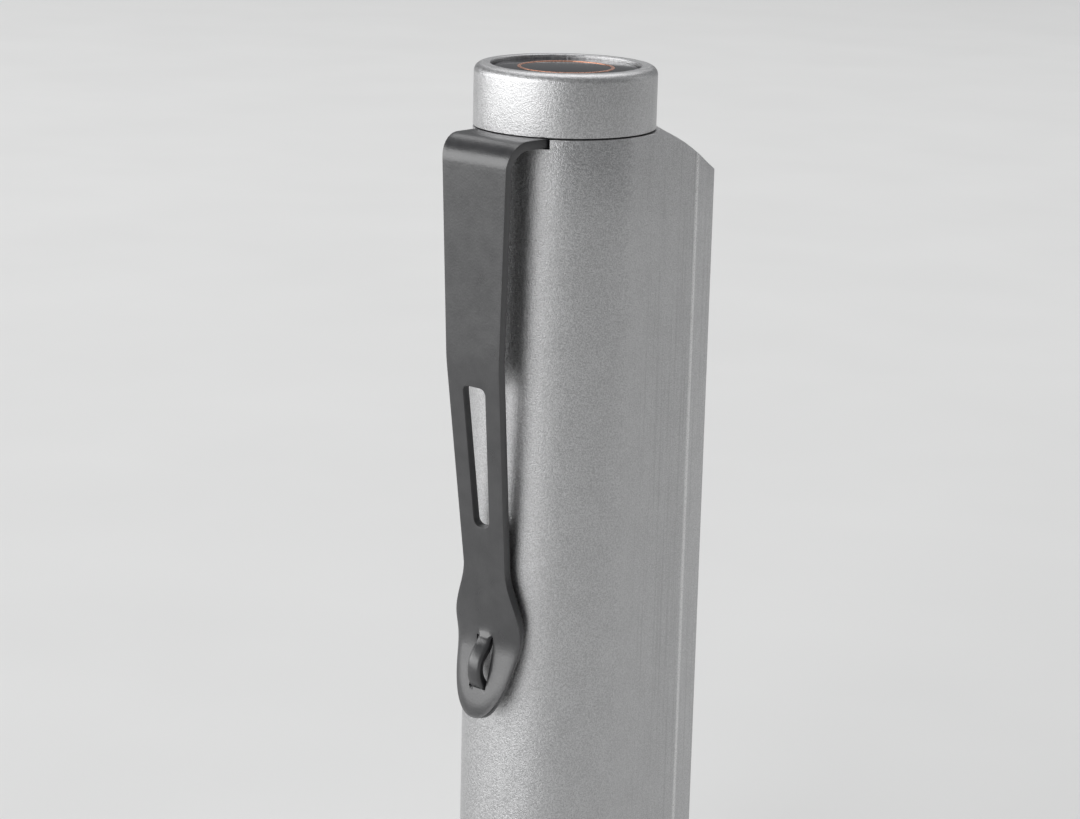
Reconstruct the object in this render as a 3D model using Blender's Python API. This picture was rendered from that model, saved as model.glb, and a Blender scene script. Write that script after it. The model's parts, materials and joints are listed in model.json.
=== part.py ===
"""Pocket flashlight: a blasted aluminium tube with a keel, a tail cap with a push button,
a spring-steel pocket clip and, inside, one cell, a tail switch and a light engine.

Metres, +Z up. The tube's axis is X = Y = 0, the bezel stands on Z = 0, the tail is up,
the clip is on the -Y side and the keel on the +Y side.
"""
import math

import bmesh
import bpy
from mathutils import Matrix, Vector

for old in list(bpy.data.objects):
    bpy.data.objects.remove(old)

# Sizes of the outside
tube_radius = 0.0100
keel_flat_reach = 0.0111        # how far back the keel's parallel sides run
keel_reach = 0.0157             # from the tube's axis to the keel's flat back
keel_taper = 0.00105            # how far each side has come in at the keel's back
keel_edge_radius = 0.0004
shoulder_angle = math.radians(34.5)   # the keel's turned shoulders, below level
bezel_height = 0.0050
bezel_lip_width = 0.0007        # the lip's cover over the lens's edge
bezel_chamfer = 0.0008
cap_height = 0.00665
cap_edge_radius = 0.00095
cap_rim_width = 0.0018          # the cap's rim round its recess
cap_recess_edge = 0.00015
button_sink = 0.00037           # the disc lies this far below the cap's rim

# Clearances
seam_gap = 0.00025              # between the tube's ends and the cap or bezel
seat_gap = 0.0003               # between pieces that rest on each other
slide_gap = 0.0003              # round pieces that turn or slide
seal_gap = 0.0002               # round the rubber rings
disc_gap = 0.0002               # round the button's disc

# Walls and bores
mouth_wall = 0.0016             # round the tube's threaded mouth, under the cap
seat_wall = 0.0006              # round the recess that holds the clip's head
cell_gap = 0.0005               # between the cell and its bore
head_wall = 0.0008              # round the light engine
bezel_skirt_length = 0.0035
bezel_skirt_wall = 0.0007
skirt_bore_radius = 0.0062
skirt_ledge_radius = 0.0053     # the narrower bore above the switch's board
cap_groove_depth = 0.0011
cap_groove_drop = 0.0036        # the groove's middle, below the seam
cap_floor_thickness = 0.0034

# Button and switch
button_travel = 0.0010
button_rest_gap = 0.00035       # left under the pressed disc
disc_thickness = 0.0012
stem_radius = 0.0030
stem_groove_radius = 0.0022
stem_foot_height = 0.0007
retainer_radius = 0.0043
retainer_thickness = 0.0006
retainer_opening = math.radians(70)
stem_seal_wire = 0.0012         # thickness of the ring round the stem
cap_seal_wire = 0.0010
switch_width = 0.0070
switch_height = 0.0065
switch_corner = 0.0006
actuator_radius = 0.0016
actuator_depth = 0.0010         # how far the actuator reaches into the switch
actuator_rise = 0.0014          # how far it stands out
switch_board_thickness = 0.0012
switch_ring_thickness = 0.0014
switch_ring_bore = 0.0049
tail_spring_height = 0.0085
tail_spring_radius = 0.0042
tail_spring_tip_radius = 0.0030
tail_spring_turns = 5
spring_wire_radius = 0.0004

# Cell
cell_radius = 0.0071
cell_length = 0.0505
terminal_radius = 0.0027
terminal_height = 0.0010

# Light engine, from the lens back
lip_thickness = 0.0012
lens_thickness = 0.0015
lens_seal_wire = 0.0008
reflector_depth = 0.0090
reflector_flange = 0.0012
reflector_wall = 0.0008
reflector_hole_radius = 0.0022
gasket_thickness = 0.0008
gasket_bore_radius = 0.0028
gasket_radius = 0.0036
emitter_width = 0.00345
emitter_thickness = 0.0006
emitter_dome_radius = 0.0015
led_board_radius = 0.0068
led_board_thickness = 0.0016
screw_radius = 0.0007
screw_head_radius = 0.0010
screw_head_height = 0.0008
screw_spread = 0.0050           # from the axis
screw_length = 0.0040
lead_radius = 0.00045
lead_spread = 0.0048
pill_shelf = 0.0030
pill_wall = 0.0010
pill_ledge = 0.0006
driver_room = 0.0022            # for the parts on the driver's board
driver_board_thickness = 0.0012
pill_rim = 0.0008
contact_spring_height = 0.0040
contact_spring_radius = 0.0026
contact_spring_tip_radius = 0.0017
contact_spring_turns = 3
chip_width = 0.0040
chip_height = 0.0010
coil_width = 0.0042
coil_height = 0.0019

# Pocket clip: depths are measured down from the seam, reaches out from the tube's axis
clip_thickness = 0.0010
clip_gap = 0.00373              # between the strap's top and the tube
clip_bend_radius = 0.0028
clip_kink_depth = 0.0244
clip_kink_drop = 0.00037        # how far the strap has come in there
clip_kink_radius = 0.020
clip_tip_depth = 0.0650
clip_flare = math.radians(14)   # the tip, out from the tube
clip_flare_radius = 0.006
clip_head_width = 0.0007        # the crescent's width, in from the seat's wall
clip_head_half_angle = math.radians(46)
clip_under_gap = 0.0004         # below the tab and the crescent
tab_half_width = 0.0048
strap_half_width = 0.0045
strap_neck_half_width = 0.0030
neck_to_tip = 0.0172            # each of the bead's features, up from the clip's tip
bead_to_tip = 0.0104
contact_to_tip = 0.0085
loop_to_tip = 0.0033
loop_length = 0.0063
neck_rise = 0.0005              # how far the strap's neck stands outside the bead
bead_half_width = 0.00465
bead_crown = 0.00055            # the bead's sides bend toward the tube
slot_top_depth = 0.0271
slot_length = 0.0161
slot_top_half_width = 0.00164
slot_bottom_half_width = 0.00112
slot_corner = 0.0007
loop_half_width = 0.0009
loop_cut = 0.0003               # the lanced gap on each side of the loop
loop_rise = 0.0018
notch_half_width = 0.0052

# Facets
round_steps = 48
small_steps = 24


# Shapes

def arc(centre, radius, start, end, steps):
    """Points on an arc from one angle to another, both ends included."""
    turn = (end - start) / steps
    return [(centre[0] + radius * math.cos(start + turn * i),
             centre[1] + radius * math.sin(start + turn * i)) for i in range(steps + 1)]


def rounded_corner(before, corner, after, radius, steps=4):
    """The arc that replaces a corner between two straight runs."""
    if radius <= 0:
        return [tuple(corner)]
    here = Vector(corner)
    to_before = (Vector(before) - here).normalized()
    to_after = (Vector(after) - here).normalized()
    half_angle = to_before.angle(to_after) / 2
    middle = here + (to_before + to_after).normalized() * (radius / math.sin(half_angle))
    first = here + to_before * (radius / math.tan(half_angle)) - middle
    last = here + to_after * (radius / math.tan(half_angle)) - middle
    sweep = first.angle_signed(last)
    return [tuple(middle + Matrix.Rotation(-sweep * i / steps, 2) @ first)
            for i in range(steps + 1)]


def ring_section(radius, height, thickness, steps=8):
    """The round section of a rubber ring, from its middle radius and height."""
    return arc((radius, height), thickness / 2, 0, 2 * math.pi, steps)[:-1]


def coil(bottom_radius, top_radius, bottom, height, turns, steps_per_turn=16):
    """Points along a coil spring that stands on Z, its ends lying flat."""
    steps = turns * steps_per_turn
    points = []
    for i in range(steps + 1):
        share = i / steps
        angle = 2 * math.pi * turns * share
        radius = bottom_radius + (top_radius - bottom_radius) * share
        points.append(Vector((radius * math.cos(angle), radius * math.sin(angle),
                              bottom + height * share)))
    return points


# Objects

def material(name, colour, roughness, metallic):
    made = bpy.data.materials.new(name)
    made.use_nodes = True
    shader = made.node_tree.nodes["Principled BSDF"]
    shader.inputs["Base Color"].default_value = (*colour, 1)
    shader.inputs["Roughness"].default_value = roughness
    shader.inputs["Metallic"].default_value = metallic
    made.diffuse_color = (*colour, 1)
    return made


def place(name, data, look):
    made = bpy.data.objects.new(name, data)
    bpy.context.scene.collection.objects.link(made)
    if look:
        data.materials.append(look)
    return made


def finish(work, name, smooth=True):
    """Turn a bmesh into a mesh with its faces pointing out."""
    bmesh.ops.remove_doubles(work, verts=work.verts, dist=1e-6)
    bmesh.ops.recalc_face_normals(work, faces=work.faces)
    mesh = bpy.data.meshes.new(name)
    work.to_mesh(mesh)
    work.free()
    if smooth:
        mesh.shade_smooth()
        mesh.set_sharp_from_angle(angle=math.radians(32))
    return mesh


def turned_mesh(name, profile, steps=round_steps, sweep=2 * math.pi):
    """Turn a profile of (radius, height) points about Z. It closes on itself or on the axis."""
    work = bmesh.new()
    points = [work.verts.new((r, 0, z)) for r, z in profile]
    pairs = list(zip(points, points[1:]))
    on_axis = profile[0][0] == 0 and profile[-1][0] == 0
    if not on_axis:
        pairs.append((points[-1], points[0]))
    edges = [work.edges.new(pair) for pair in pairs]
    whole = abs(sweep - 2 * math.pi) < 1e-6
    made = bmesh.ops.spin(work, geom=points + edges, axis=(0, 0, 1), cent=(0, 0, 0),
                          steps=steps, angle=sweep, use_merge=whole)
    if not whole:
        ends = [e for e in work.edges if len(e.link_faces) == 1]
        bmesh.ops.edgeloop_fill(work, edges=ends)
    return finish(work, name)


def turned(name, profile, look, steps=round_steps):
    return place(name, turned_mesh(name, profile, steps), look)


def extruded_mesh(name, outline, bottom, top):
    """Extrude an outline of (x, y) points along Z."""
    work = bmesh.new()
    face = work.faces.new([work.verts.new((x, y, bottom)) for x, y in outline])
    raised = bmesh.ops.extrude_face_region(work, geom=[face])["geom"]
    bmesh.ops.translate(work, vec=(0, 0, top - bottom),
                        verts=[v for v in raised if isinstance(v, bmesh.types.BMVert)])
    return finish(work, name)


def block(name, width, bottom, top, look, corner=0.0):
    """An upright square block centred on the axis, with rounded upright corners."""
    half = width / 2
    corners = [(half, -half), (half, half), (-half, half), (-half, -half)]
    outline = []
    for i, here in enumerate(corners):
        outline += rounded_corner(corners[i - 1], here, corners[(i + 1) % 4], corner, 3)
    return place(name, extruded_mesh(name, outline, bottom, top), look)


def cutter(name, mesh):
    made = place(name, mesh, None)
    made.hide_render = True
    made.display_type = 'WIRE'
    return made


def boolean(target, tool, operation='DIFFERENCE'):
    step = target.modifiers.new(f"{operation.title()} {tool.name}", 'BOOLEAN')
    step.operation = operation
    step.solver = 'EXACT'
    step.object = tool


def wire_along(name, points, radius, look):
    """A round wire along a line of points, with closed ends."""
    curve = bpy.data.curves.new(name, 'CURVE')
    curve.dimensions = '3D'
    curve.bevel_depth = radius
    curve.bevel_resolution = 1
    curve.use_fill_caps = True
    line = curve.splines.new('POLY')
    line.points.add(len(points) - 1)
    for point, spot in zip(line.points, points):
        point.co = (*spot, 1)
    return place(name, curve, look)


# Radii, worked in from the tube's outside

keel_back_half_width = tube_radius - keel_taper
cap_recess_radius = tube_radius - cap_rim_width
mouth_radius = tube_radius - mouth_wall
seat_radius = tube_radius - seat_wall
head_bore_radius = tube_radius - head_wall
bezel_skirt_radius = head_bore_radius - seat_gap
bezel_skirt_bore = bezel_skirt_radius - bezel_skirt_wall
lens_radius = bezel_skirt_bore - seat_gap
bezel_opening_radius = lens_radius - bezel_lip_width

# Heights, worked up from the bezel's face

lens_front = lip_thickness + seat_gap
lens_back = lens_front + lens_thickness
lens_seal_middle = lens_back + seat_gap + lens_seal_wire / 2
reflector_front = lens_seal_middle + lens_seal_wire / 2 + seat_gap
reflector_back = reflector_front + reflector_depth
gasket_front = reflector_back + seat_gap
gasket_back = gasket_front + gasket_thickness
led_board_front = gasket_back + seat_gap
led_board_back = led_board_front + led_board_thickness
pill_front = led_board_back + seat_gap
pill_floor = pill_front + pill_shelf
driver_front = pill_floor + driver_room + seat_gap
driver_back = driver_front + driver_board_thickness
pill_back = driver_back + pill_rim
head_bore_end = pill_back + seat_gap
contact_bottom = driver_back + seat_gap
cell_front = contact_bottom + contact_spring_height + seat_gap
cell_back = cell_front + cell_length
tail_spring_bottom = cell_back + seat_gap
tail_spring_top = tail_spring_bottom + tail_spring_height
switch_board_bottom = tail_spring_top + seat_gap
switch_board_top = switch_board_bottom + switch_board_thickness
switch_ring_top = switch_board_bottom - seat_gap
switch_ring_bottom = switch_ring_top - switch_ring_thickness
skirt_ledge = switch_board_top + seat_gap
switch_bottom = switch_board_top + seat_gap
switch_top = switch_bottom + switch_height
actuator_bottom = switch_top - actuator_depth
actuator_top = switch_top + actuator_rise
stem_bottom = actuator_top + seat_gap
retainer_bottom = stem_bottom + stem_foot_height + seat_gap
retainer_top = retainer_bottom + retainer_thickness
cap_floor_bottom = retainer_top + seat_gap
cap_floor_top = cap_floor_bottom + cap_floor_thickness
disc_bottom = cap_floor_top + button_travel + button_rest_gap
disc_top = disc_bottom + disc_thickness
overall_length = disc_top + button_sink
seam = overall_length - cap_height
skirt_bottom = switch_ring_bottom - seat_gap
mouth_bottom = skirt_bottom - 2 * seat_gap
rim_top = seam - seam_gap
tab_top = seam - seat_gap
seat_floor = tab_top - clip_thickness - clip_under_gap
tube_bottom = bezel_height + seam_gap


# Depths down the clip

strap_neck_depth = clip_tip_depth - neck_to_tip
bead_depth = clip_tip_depth - bead_to_tip
contact_depth = clip_tip_depth - contact_to_tip
loop_bottom_depth = clip_tip_depth - loop_to_tip
loop_top_depth = loop_bottom_depth - loop_length
slot_bottom_depth = slot_top_depth + slot_length


# Looks

blasted_aluminium = material("blasted_aluminium", (0.60, 0.60, 0.61), 0.42, 1.0)
coated_steel = material("coated_steel", (0.045, 0.046, 0.050), 0.38, 0.6)
dark_glass = material("dark_glass", (0.010, 0.010, 0.012), 0.08, 0.0)
plain_aluminium = material("plain_aluminium", (0.72, 0.72, 0.73), 0.30, 1.0)
clear_glass = material("clear_glass", (0.92, 0.96, 0.97), 0.02, 0.0)
mirror_coat = material("mirror_coat", (0.93, 0.93, 0.94), 0.04, 1.0)
black_rubber = material("black_rubber", (0.020, 0.020, 0.022), 0.75, 0.0)
black_plastic = material("black_plastic", (0.030, 0.030, 0.032), 0.45, 0.0)
white_plastic = material("white_plastic", (0.85, 0.85, 0.83), 0.50, 0.0)
brass = material("brass", (0.76, 0.58, 0.27), 0.28, 1.0)
spring_steel = material("spring_steel", (0.66, 0.65, 0.63), 0.25, 1.0)
circuit_board = material("circuit_board", (0.02, 0.14, 0.06), 0.45, 0.0)
white_board = material("white_board", (0.88, 0.88, 0.86), 0.40, 0.0)
phosphor = material("phosphor", (0.90, 0.72, 0.12), 0.30, 0.0)
cell_wrap = material("cell_wrap", (0.05, 0.12, 0.30), 0.35, 0.0)
copper_wire = material("copper_wire", (0.80, 0.42, 0.26), 0.30, 1.0)


# Tube with its keel

def tube_section():
    """The outline: half a circle toward the clip, then the keel's flats, tapers and back."""
    side = (tube_radius, keel_flat_reach)
    back = (keel_back_half_width, keel_reach)
    flat_start = (tube_radius, 0)
    half = rounded_corner(flat_start, side, back, keel_edge_radius * 3, 4)
    half += rounded_corner(side, back, (0, keel_reach), keel_edge_radius, 4)
    front = arc((0, 0), tube_radius, -math.pi, 0, round_steps // 2)
    return front + half + [(-x, y) for x, y in reversed(half)]


def shoulder_envelope():
    """A turned barrel whose cones cut the keel's shoulders at both ends."""
    far = math.hypot(keel_back_half_width, keel_reach) + seat_gap
    drop = (far - tube_radius) * math.tan(shoulder_angle)
    past = 0.001
    inset = past / math.tan(shoulder_angle)
    return [(0, seam + past), (tube_radius - inset, seam + past), (far, seam - drop),
            (far, bezel_height + drop), (tube_radius - inset, bezel_height - past),
            (0, bezel_height - past)]


def bore_profile():
    """Head bore, cell bore, threaded mouth and the clip's seat, as one turned cut."""
    past = 0.001
    cell_bore = cell_radius + cell_gap
    return [(0, rim_top + past), (seat_radius, rim_top + past), (seat_radius, seat_floor),
            (mouth_radius, seat_floor), (mouth_radius, mouth_bottom), (cell_bore, mouth_bottom),
            (cell_bore, head_bore_end), (head_bore_radius, head_bore_end),
            (head_bore_radius, tube_bottom - past), (0, tube_bottom - past)]


def build_tube():
    tube = place("body_tube", extruded_mesh("body_tube", tube_section(), tube_bottom, rim_top),
                 blasted_aluminium)
    boolean(tube, cutter("shoulder_cut", turned_mesh("shoulder_cut", shoulder_envelope())),
            'INTERSECT')
    boolean(tube, cutter("bore_cut", turned_mesh("bore_cut", bore_profile())))
    outline = [(-notch_half_width, -tube_radius * 1.2), (notch_half_width, -tube_radius * 1.2),
               (notch_half_width, -tube_radius * 0.6), (-notch_half_width, -tube_radius * 0.6)]
    notch = extruded_mesh("notch_cut", outline, seat_floor, rim_top + 0.001)
    boolean(tube, cutter("notch_cut", notch))


# Tail cap, its rubber ring and the switch inside

def cap_profile():
    skirt_radius = mouth_radius - slide_gap
    groove_radius = skirt_radius - cap_groove_depth
    groove_half = cap_seal_wire / 2 + seal_gap
    groove_middle = seam - cap_groove_drop
    seal_middle = (retainer_top + seat_gap + cap_floor_top) / 2
    seal_half = stem_seal_wire / 2 + seal_gap
    stem_hole = stem_radius + slide_gap
    seal_groove = stem_radius + slide_gap + stem_seal_wire + seal_gap
    top_edge = rounded_corner((tube_radius, seam), (tube_radius, overall_length),
                              (0, overall_length), cap_edge_radius, 6)
    return [(tube_radius, seam), *top_edge,
            (cap_recess_radius + cap_recess_edge, overall_length),
            (cap_recess_radius, overall_length - cap_recess_edge),
            (cap_recess_radius, cap_floor_top), (stem_hole, cap_floor_top),
            (stem_hole, seal_middle + seal_half), (seal_groove, seal_middle + seal_half),
            (seal_groove, seal_middle - seal_half), (stem_hole, seal_middle - seal_half),
            (stem_hole, cap_floor_bottom), (skirt_ledge_radius, cap_floor_bottom),
            (skirt_ledge_radius, skirt_ledge), (skirt_bore_radius, skirt_ledge),
            (skirt_bore_radius, skirt_bottom), (skirt_radius, skirt_bottom),
            (skirt_radius, groove_middle - groove_half), (groove_radius, groove_middle - groove_half),
            (groove_radius, groove_middle + groove_half), (skirt_radius, groove_middle + groove_half),
            (skirt_radius, seam)]


def build_cap():
    turned("tail_cap", cap_profile(), blasted_aluminium)
    groove_radius = mouth_radius - slide_gap - cap_groove_depth
    ring_radius = groove_radius + seal_gap + cap_seal_wire / 2
    turned("cap_seal", ring_section(ring_radius, seam - cap_groove_drop, cap_seal_wire),
           black_rubber, small_steps)


def build_button():
    disc_radius = cap_recess_radius - disc_gap
    edge = disc_gap
    turned("button_disc", [(0, disc_top), (disc_radius - edge, disc_top),
                           (disc_radius, disc_top - edge), (disc_radius, disc_bottom),
                           (0, disc_bottom)], dark_glass)
    stem_top = disc_bottom - seat_gap
    groove_bottom = retainer_bottom - seat_gap
    groove_top = retainer_top + seat_gap
    turned("button_stem", [(0, stem_top), (stem_radius, stem_top), (stem_radius, groove_top),
                           (stem_groove_radius, groove_top), (stem_groove_radius, groove_bottom),
                           (stem_radius, groove_bottom), (stem_radius, stem_bottom),
                           (0, stem_bottom)], plain_aluminium, small_steps)
    ring_bore = stem_groove_radius + seat_gap
    section = [(retainer_radius, retainer_bottom), (retainer_radius, retainer_top),
               (ring_bore, retainer_top), (ring_bore, retainer_bottom)]
    retainer = turned_mesh("stem_retainer", section, small_steps - 6,
                           2 * math.pi - retainer_opening)
    place("stem_retainer", retainer, spring_steel)
    seal_middle = (retainer_top + seat_gap + cap_floor_top) / 2
    turned("stem_seal", ring_section(stem_radius + slide_gap + stem_seal_wire / 2, seal_middle,
                                     stem_seal_wire), black_rubber, small_steps)
    turned("switch_actuator", [(0, actuator_top), (actuator_radius, actuator_top),
                               (actuator_radius, actuator_bottom), (0, actuator_bottom)],
           white_plastic, small_steps)


def build_switch():
    switch = block("switch_body", switch_width, switch_bottom, switch_top,
                   black_plastic, switch_corner)
    well_radius = actuator_radius + slide_gap
    well_floor = actuator_bottom - button_travel - seat_gap
    boolean(switch, cutter("well_cut", turned_mesh("well_cut", [
        (0, switch_top + 0.001), (well_radius, switch_top + 0.001), (well_radius, well_floor),
        (0, well_floor)], small_steps)))
    board_radius = skirt_bore_radius - seat_gap
    turned("switch_board", [(0, switch_board_top), (board_radius, switch_board_top),
                            (board_radius, switch_board_bottom), (0, switch_board_bottom)],
           circuit_board, small_steps)
    turned("switch_ring", [(board_radius, switch_ring_bottom), (board_radius, switch_ring_top),
                           (switch_ring_bore, switch_ring_top),
                           (switch_ring_bore, switch_ring_bottom)], brass, small_steps)
    wire_along("tail_spring",
               coil(tail_spring_tip_radius, tail_spring_radius,
                    tail_spring_bottom + spring_wire_radius,
                    tail_spring_height - 2 * spring_wire_radius, tail_spring_turns),
               spring_wire_radius, spring_steel)


# Cell

def build_cell():
    shoulder = cell_front + terminal_height
    top = rounded_corner((cell_radius, shoulder), (cell_radius, cell_back), (0, cell_back),
                         0.0004, 3)
    bottom = rounded_corner((0, shoulder), (cell_radius, shoulder), (cell_radius, cell_back),
                            0.0004, 3)
    turned("cell", [(0, cell_back), *reversed(top), *reversed(bottom),
                    (terminal_radius, shoulder), (terminal_radius, cell_front), (0, cell_front)],
           cell_wrap, small_steps)


# Light engine

def reflector_profile():
    """A parabola inside, the same curve a wall's thickness further out behind the flange."""
    mouth = bezel_opening_radius
    depth = reflector_back - reflector_front
    steps = 8
    inner = []
    for i in range(steps + 1):
        share = i / steps
        radius = mouth + (reflector_hole_radius - mouth) * share
        height = reflector_back - depth * (
            (radius ** 2 - reflector_hole_radius ** 2) / (mouth ** 2 - reflector_hole_radius ** 2))
        inner.append((radius, height))
    flange_back = reflector_front + reflector_flange
    outer = [(r + reflector_wall, z) for r, z in inner if z > flange_back + reflector_flange / 4]
    neck = (mouth + reflector_wall / 2, flange_back)
    return inner + list(reversed(outer)) + [neck, (lens_radius, flange_back),
                                            (lens_radius, reflector_front)]


def build_light_engine():
    turned("front_lens", [(0, lens_back), (lens_radius, lens_back), (lens_radius, lens_front),
                          (0, lens_front)], clear_glass)
    seal_radius = lens_radius - lens_seal_wire / 2
    turned("lens_seal", ring_section(seal_radius, lens_seal_middle, lens_seal_wire),
           black_rubber, small_steps)
    turned("reflector", reflector_profile(), mirror_coat, small_steps + 8)
    turned("led_gasket", [(gasket_radius, gasket_front), (gasket_radius, gasket_back),
                          (gasket_bore_radius, gasket_back), (gasket_bore_radius, gasket_front)],
           white_plastic, small_steps)
    build_emitter()
    build_boards()


def build_emitter():
    """A square base under a dome, joined as one moulded piece."""
    base_back = led_board_front - seat_gap
    base_front = base_back - emitter_thickness
    emitter = block("led_emitter", emitter_width, base_front, base_back, phosphor)
    dome = arc((0, base_front + 0.0001), emitter_dome_radius, 0, -math.pi / 2, 6)
    profile = [(0, base_front + 0.0003), (emitter_dome_radius, base_front + 0.0003),
               *dome[:-1], (0, dome[-1][1])]
    boolean(emitter, cutter("dome_join", turned_mesh("dome_join", profile, small_steps)), 'UNION')


def holes(name, spread, along, radius, bottom, top):
    """Two round cutters, one each side of the axis, as one object."""
    work = bmesh.new()
    for side in (-1, 1):
        middle = Vector(along) * (spread * side) + Vector((0, 0, (bottom + top) / 2))
        bmesh.ops.create_cone(work, cap_ends=True, segments=16, radius1=radius, radius2=radius,
                              depth=top - bottom, matrix=Matrix.Translation(middle))
    return cutter(name, finish(work, name, False))


def build_boards():
    screw_tip = led_board_front - seat_gap + screw_length
    screw_holes = holes("screw_holes", screw_spread, (1, 0, 0), screw_radius + seat_gap,
                        led_board_front - 0.001, screw_tip + seat_gap)
    lead_holes = holes("lead_holes", lead_spread, (0, 1, 0), lead_radius + seat_gap,
                       led_board_front - 0.001, pill_floor + 0.001)
    board = turned("led_board", [(0, led_board_back), (led_board_radius, led_board_back),
                                 (led_board_radius, led_board_front), (0, led_board_front)],
                   white_board, small_steps)
    boolean(board, screw_holes)
    boolean(board, lead_holes)
    pill_radius = head_bore_radius - seat_gap
    driver_radius = pill_radius - pill_wall - seat_gap
    room_radius = driver_radius - pill_ledge
    pill = turned("light_engine_pill", [
        (0, pill_floor), (room_radius, pill_floor), (room_radius, driver_front - seat_gap),
        (driver_radius + seat_gap, driver_front - seat_gap), (driver_radius + seat_gap, pill_back),
        (pill_radius, pill_back), (pill_radius, pill_front), (0, pill_front)], brass)
    boolean(pill, screw_holes)
    boolean(pill, lead_holes)
    head_back = led_board_front - seat_gap
    head_front = head_back - screw_head_height
    screw = turned_mesh("led_screw", [
        (0, screw_tip), (screw_radius, screw_tip), (screw_radius, head_back),
        (screw_head_radius, head_back), (screw_head_radius, head_front), (0, head_front)], 16)
    screw.materials.append(spring_steel)
    lead_end = driver_front - seat_gap
    lead = turned_mesh("led_lead", [
        (0, lead_end), (lead_radius, lead_end), (lead_radius, led_board_front - seat_gap),
        (lead_radius + seat_gap, led_board_front - seat_gap),
        (lead_radius, led_board_front - seat_gap - lead_radius), (0, head_front)], 12)
    lead.materials.append(copper_wire)
    for name, mesh, spot in (("led_screw_left", screw, (-screw_spread, 0, 0)),
                             ("led_screw_right", screw, (screw_spread, 0, 0)),
                             ("led_lead_front", lead, (0, -lead_spread, 0)),
                             ("led_lead_back", lead, (0, lead_spread, 0))):
        place(name, mesh, None).location = spot
    turned("driver_board", [(0, driver_back), (driver_radius, driver_back),
                            (driver_radius, driver_front), (0, driver_front)], circuit_board,
           small_steps)
    part_back = driver_front - seat_gap
    chip = block("driver_chip", chip_width, part_back - chip_height, part_back,
                 black_plastic)
    chip.location.x = -(chip_width / 2 + seat_gap)
    choke = block("driver_coil", coil_width, part_back - coil_height, part_back,
                  black_plastic, coil_width / 8)
    choke.location.x = coil_width / 2 + seat_gap
    wire_along("contact_spring",
               coil(contact_spring_radius, contact_spring_tip_radius,
                    contact_bottom + spring_wire_radius,
                    contact_spring_height - 2 * spring_wire_radius, contact_spring_turns),
               spring_wire_radius, spring_steel)


def build_bezel():
    skirt_end = bezel_height + bezel_skirt_length
    turned("bezel_ring", [
        (bezel_opening_radius + bezel_chamfer / 2, 0), (tube_radius - bezel_chamfer, 0),
        (tube_radius, bezel_chamfer), (tube_radius, bezel_height),
        (bezel_skirt_radius, bezel_height), (bezel_skirt_radius, skirt_end),
        (bezel_skirt_bore, skirt_end), (bezel_skirt_bore, lip_thickness),
        (bezel_opening_radius, lip_thickness), (bezel_opening_radius, bezel_chamfer / 2)],
        blasted_aluminium)


# Pocket clip: one sheet-metal blank, laid out in rows across the strap, bent along a side path,
# with its slot and its lanced loop left open, then thickened

def clip_side_path():
    """The outer face's line, seen from the side, as (reach, depth) points."""
    top_reach = tube_radius + clip_gap + clip_thickness
    contact_reach = tube_radius + seat_gap + clip_thickness
    tab_depth = seam - tab_top
    bend_start = (seat_radius, tab_depth)
    bend = (top_reach, tab_depth)
    kink = (top_reach - clip_kink_drop, clip_kink_depth)
    neck = (contact_reach + neck_rise, strap_neck_depth)
    contact = (contact_reach, contact_depth)
    tip = (contact_reach + contact_to_tip * math.tan(clip_flare), clip_tip_depth)
    path = rounded_corner(bend_start, bend, kink, clip_bend_radius, 8)
    path += rounded_corner(bend, kink, neck, clip_kink_radius, 4)
    path += rounded_corner(kink, neck, contact, clip_kink_radius, 2)
    path += rounded_corner(neck, contact, tip, clip_flare_radius, 4)
    path.append(tip)
    return path


def ease(value, low, high):
    """0 below low, 1 above high and a smooth step between them."""
    share = min(max((value - low) / (high - low), 0), 1)
    return share * share * (3 - 2 * share)


def between(value, points):
    """Straight-line reading between (where, size) points."""
    for (low, start), (high, end) in zip(points, points[1:]):
        if value <= high:
            share = min(max((value - low) / (high - low), 0), 1)
            return start + (end - start) * share
    return points[-1][1]


def strap_width(depth):
    """Half the strap's width at a depth: a long taper, the bead, then a round tip."""
    if depth <= strap_neck_depth:
        return between(depth, [(seam - tab_top, tab_half_width),
                               (clip_bend_radius, strap_half_width),
                               (strap_neck_depth, strap_neck_half_width)])
    if depth <= bead_depth:
        swell = ease(depth, strap_neck_depth, bead_depth)
        return strap_neck_half_width + (bead_half_width - strap_neck_half_width) * swell
    past = (depth - bead_depth) / bead_to_tip
    return bead_half_width * max(1 - past ** 1.6, 0.01) ** 0.45


def slot_width(depth):
    """Half the slot's width: a narrow taper with rounded corners at both ends."""
    width = between(depth, [(slot_top_depth, slot_top_half_width),
                            (slot_bottom_depth, slot_bottom_half_width)])
    from_end = min(depth - slot_top_depth, (slot_bottom_depth - depth) * 0.6)
    corner = min(max(1 - from_end / slot_corner, 0), 1)
    return width - slot_corner * (1 - math.sqrt(1 - corner ** 2))


def even_steps(start, end, steps):
    return [start + (end - start) * i / steps for i in range(steps + 1)]


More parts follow.
